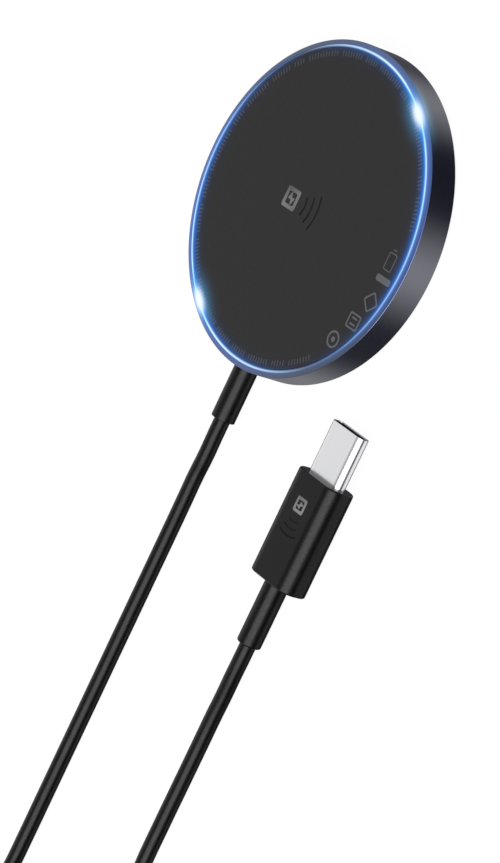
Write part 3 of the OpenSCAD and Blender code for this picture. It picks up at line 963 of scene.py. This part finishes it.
def strap_band(path, closed, section, lift, middle):
    """A strap along a path of (radius, height) offsets, curved with the coil."""
    centre_x, centre_y, mid_r, mid_z = middle
    count = len(path)
    verts = []
    for i, (u, v) in enumerate(path):
        before = Vector(path[i - 1] if closed else path[max(i - 1, 0)])
        after = Vector(path[(i + 1) % count] if closed else path[min(i + 1, count - 1)])
        along = (after - before).normalized()
        outward = Vector((along.y, -along.x))
        for across, out in section:
            ring_r = mid_r + u + outward.x * (out + lift)
            z = mid_z + v + outward.y * (out + lift)
            y = centre_y - math.sqrt(max(ring_r ** 2 - across ** 2, 0))
            verts.append((centre_x + across, y, z))
    columns = len(section)
    faces = grid_faces(count, columns, closed)
    if not closed:
        faces.append(tuple(range(columns)))
        faces.append(tuple(range(len(verts) - columns, len(verts))))
    return verts, faces


def stitch_rows(centre_x, centre_y, mid_r, top):
    """Two rows of stitches across the tab, curved with the coil."""
    pitch = 0.7
    shapes = []
    for row in (0.5, -0.2):
        for i in range(-3, 4):
            across = pitch * i
            y = centre_y - math.sqrt((mid_r + row) ** 2 - across ** 2)
            stitch = placed(bar(0.45, 0.16), centre_x + across, y)
            shapes.append(prism(stitch, top - 0.04, top + 0.05))
    return shapes


def tie_piece():
    """A woven strap round the winding, its end lapped over the top and stitched."""
    strap_t = TIE_LIFT / MM
    strap_w = tie_high.x - tie_low.x
    tab_t = 0.4
    tab_w = strap_w - 0.7
    centre_x = (tie_low.x + tie_high.x) / 2
    centre_y = COIL_CENTRE[1] / MM
    mid_r = COIL_MID_R / MM
    wide = 3 * COIL_PITCH / MM
    top = tie_high.z - strap_t
    high = top - strap_t
    middle = (centre_x, centre_y, mid_r, (strap_t + top) / 2)
    corner_steps = 8
    loop = round_rect(wide, high, 1.4, corner_steps)
    strap_section = round_rect(strap_w, strap_t, 0.16, 3)
    strap = strap_band(loop, True, strap_section, strap_t / 2, middle)
    tab_start = (wide / 2, -0.2 * high)
    tab_end = [(-0.7, high / 2), (-1.1, high / 2)]
    tab_path = [tab_start] + loop[:corner_steps + 1] + tab_end
    tab_section = round_rect(tab_w, tab_t, 0.13, 3)
    tab = strap_band(tab_path, False, tab_section, strap_t + tab_t / 2, middle)
    stitches = stitch_rows(centre_x, centre_y, mid_r, tie_high.z + tab_t)
    shapes = [strap, tab, *stitches]
    return add_piece("coil_strap", joined(shapes), strap_material(), ["coil_tie"])


# ---- CAD nodes that stay: each gets its own material ----

def inner_materials():
    """Each such node's material and slot."""
    tape = Surface("tape", (0.62, 0.58, 0.45), 0.6, grain=0.2, depth=0.01).material
    magnet = Surface("magnet_plating", (0.62, 0.60, 0.55), 0.28, metallic=1.0, grain=0.15).material
    steel = Surface("yoke_steel", (0.33, 0.33, 0.34), 0.42, metallic=1.0, grain=0.1).material
    spring = Surface("spring_steel", (0.55, 0.55, 0.56), 0.28, metallic=1.0, grain=0.08).material
    plastic = Surface("inner_plastic", (0.022, 0.022, 0.023), 0.5, grain=0.1).material
    ferrite = Surface("ferrite_sheet", (0.035, 0.034, 0.033), 0.62, grain=0.12, depth=0.01).material
    chip = Surface("chip_resin", (0.012, 0.012, 0.013), 0.55, grain=0.05, depth=0.006).material
    ceramic = Surface("ceramic_body", (0.30, 0.20, 0.11), 0.42, grain=0.08).material
    lens = Surface("led_lens", (0.80, 0.78, 0.60), 0.25, grain=0.1).material
    pad = Surface("silicone_pad", (0.28, 0.33, 0.40), 0.7, grain=0.15, depth=0.01).material
    core = Surface("core_insulation", (0.35, 0.03, 0.03), 0.42, grain=0.15).material
    gold = Surface("contact_gold", (0.80, 0.55, 0.20), 0.22, metallic=1.0, grain=0.05).material
    insulator = Surface("insulator_black", (0.004, 0.004, 0.004), 0.45, grain=0.06).material
    return {
        "cover_adhesive_ring": (tape, "adhesive_tape"), "face_adhesive_ring": (tape, "adhesive_tape"),
        "coil_adhesive": (tape, "adhesive_tape"), "magnet_segments": (magnet, "magnet_nickel"),
        "magnet_yoke": (steel, "yoke_steel"), "coil_tray": (plastic, "black_plastic"),
        "ferrite_shield": (ferrite, "ferrite"), "transmit_coil": (winding_material(), "copper_wire"),
        "coil_leads": (winding_material(), "copper_wire"), "thermistor": (chip, "chip_epoxy"),
        "circuit_board": (board_material(), "board_laminate"), "controller_chip": (chip, "chip_epoxy"),
        "driver_chips": (chip, "chip_epoxy"), "resonant_capacitors": (ceramic, "ceramic_part"),
        "power_inductor": (ferrite, "ferrite"), "small_passives": (ceramic, "ceramic_part"),
        "edge_leds": (lens, "led_lens"), "thermal_pad": (pad, "silicone_pad"),
        "lead_wires": (core, "core_insulation"), "plug_wires": (core, "core_insulation"),
        "plug_insulator": (insulator, "insulator_black"), "plug_contacts": (gold, "contact_gold"),
        "plug_latches": (spring, "spring_steel"), "plug_can": (spring, "spring_steel"),
        "plug_board": (board_material(), "board_laminate"),
    }


def dress_cad_nodes():
    for name, (material, slot) in inner_materials().items():
        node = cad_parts[name]
        node.data.materials.clear()
        node.data.materials.append(material)


# ---- Stage: pale floor, camera-only backdrop, a reflector card, soft light ----

FLOOR_R = 6.0
FLOOR_Z = -0.0001
CARD_SIZE = (0.0096, 0.010)
CARD_PLACE = (0.0382, -0.0300, -0.00005)
STUDIO_CENTRE = Vector((0.01, -0.05, 0))


def stage_material(name, diffuse, glow):
    """Plain paper that also glows by itself."""
    material = bpy.data.materials.new(name)
    material.use_nodes = True
    shader = material.node_tree.nodes["Principled BSDF"]
    shader.inputs["Base Color"].default_value = (diffuse, diffuse, diffuse, 1)
    shader.inputs["Roughness"].default_value = 0.9
    shader.inputs["Specular IOR Level"].default_value = 0.0
    shader.inputs["Emission Color"].default_value = (1, 1, 1, 1)
    shader.inputs["Emission Strength"].default_value = glow
    return material


def add_floor():
    """A pale table top, just under the object."""
    bpy.ops.mesh.primitive_circle_add(vertices=96, radius=FLOOR_R, fill_type="NGON")
    floor = bpy.context.object
    floor.name = "floor"
    floor.location.z = FLOOR_Z
    floor.data.materials.append(stage_material("floor_paper", 0.05, 0.95))
    floor.visible_glossy = False


def add_backdrop():
    """A pale dome that only the camera sees."""
    bpy.ops.mesh.primitive_uv_sphere_add(segments=64, ring_count=32, radius=FLOOR_R)
    dome = bpy.context.object
    dome.name = "backdrop"
    dome.data.materials.append(stage_material("backdrop_paper", 0.0, 1.0))
    dome.visible_diffuse = False
    dome.visible_glossy = False
    dome.visible_transmission = False
    dome.visible_shadow = False


def add_card():
    """A small pale card on the table beside the shell, which only its side reflects."""
    bpy.ops.mesh.primitive_plane_add(size=1)
    card = bpy.context.object
    card.name = "reflector_card"
    card.scale = (*CARD_SIZE, 1)
    card.location = CARD_PLACE
    card.data.materials.append(stage_material("card_paper", 0.0, 0.90))
    card.visible_camera = False
    card.visible_diffuse = False
    card.visible_transmission = False
    card.visible_shadow = False


def add_softbox(name, direction, distance, size, energy):
    """A rectangular light that faces the middle of the scene."""
    light = bpy.data.lights.new(name, "AREA")
    light.shape = "RECTANGLE"
    light.size = size[0]
    light.size_y = size[1]
    light.energy = energy
    box = bpy.data.objects.new(name, light)
    toward = Vector(direction).normalized()
    box.location = STUDIO_CENTRE + toward * distance
    box.rotation_euler = toward.to_track_quat("Z", "Y").to_euler()
    box.visible_camera = False
    bpy.context.scene.collection.objects.link(box)


# Brightness by height, from straight down (0) to straight up (1)
SKY_OPEN_SIDE = [
    (0.36, 0.02), (0.47, 0.85), (0.60, 0.95), (0.83, 0.90), (0.93, 0.42), (1.00, 0.36),
]
SKY_DARK_SIDE = [
    (0.36, 0.02), (0.50, 0.05), (0.58, 0.42), (0.66, 0.88), (0.83, 0.90), (0.93, 0.42),
]
# Brightness of the low strips by direction, from -X (0) through -Y, +X and +Y back to -X (1)
LOW_STRIPS = [
    (0.000, 0.16), (0.078, 0.26), (0.161, 0.50), (0.278, 0.045), (0.350, 0.045), (0.475, 0.98),
    (0.607, 0.020), (0.710, 0.006), (0.813, 0.76), (0.922, 0.07), (1.000, 0.12),
]
STRIP_TINT = (0.012, 0.014, 0.040)


def add_world():
    """Studio surroundings: a soft band of light above the horizon, and three strips low down."""
    world = bpy.data.worlds.new("studio")
    bpy.context.scene.world = world
    world.use_nodes = True
    tree = world.node_tree
    back = tree.nodes["Background"]

    def add(kind, inputs, **settings):
        return add_node(tree, kind, inputs, **settings)

    def math_node(operation, a, b=0.0):
        return add("ShaderNodeMath", {0: a, 1: b}, operation=operation).outputs[0]

    def grey_ramp(share, stops):
        node = add("ShaderNodeValToRGB", {"Fac": share})
        node.color_ramp.interpolation = "EASE"
        fill_ramp(node.color_ramp, greys(stops))
        return node.outputs["Color"]

    def between(value, low, high):
        inputs = {"Value": value, "From Min": low, "From Max": high}
        return add("ShaderNodeMapRange", inputs, interpolation_type="SMOOTHSTEP").outputs[0]

    place = add("ShaderNodeTexCoord", {}).outputs["Generated"]
    x, y, z = add("ShaderNodeSeparateXYZ", {0: place}).outputs
    height = math_node("MULTIPLY", math_node("ADD", z, 1.0), 0.5)
    sky = add("ShaderNodeMix", {"Factor": between(x, -0.75, -0.15)}, data_type="RGBA")
    tree.links.new(grey_ramp(height, SKY_OPEN_SIDE), sky.inputs["A"])
    tree.links.new(grey_ramp(height, SKY_DARK_SIDE), sky.inputs["B"])
    angle = math_node("ARCTAN2", y, x)
    turned = math_node("ADD", math_node("DIVIDE", angle, 2 * math.pi), 0.5)
    colour = {0: grey_ramp(turned, LOW_STRIPS), 1: STRIP_TINT}
    strips = add("ShaderNodeVectorMath", colour, operation="ADD").outputs[0]
    rise = between(z, -0.28, -0.52)
    fall = between(z, -1.0, -0.85)
    window = {0: strips, "Scale": math_node("MULTIPLY", rise, fall)}
    low = add("ShaderNodeVectorMath", window, operation="SCALE").outputs[0]
    both = {0: sky.outputs["Result"], 1: low}
    total = add("ShaderNodeVectorMath", both, operation="ADD")
    tree.links.new(total.outputs[0], back.inputs["Color"])
    world.cycles.sampling_method = "NONE"


# ---- Making ----

cord_rubber = rubber_material("cord_rubber", (0.0012, 0.0012, 0.0013), 0.30, 0.08, 0.0012)
cord = cord_piece(cord_rubber)
gland_sleeve = gland_piece(cord_rubber)
plug_sleeve = plug_sleeve_piece(cord_rubber)
housing_piece()
face_piece()
guide_piece()
cover_piece()
foot_piece()
plug_grip = grip_piece()
plug_metal_shell = shell_piece()
strap = tie_piece()
mark_pieces()
dress_cad_nodes()

add_floor()
add_backdrop()
add_card()
add_softbox("key_softbox", direction=(0.60, -0.19, 0.78), distance=0.7, size=(0.70, 0.70),
            energy=6.2)
add_world()
bpy.context.scene.view_settings.view_transform = "Standard"
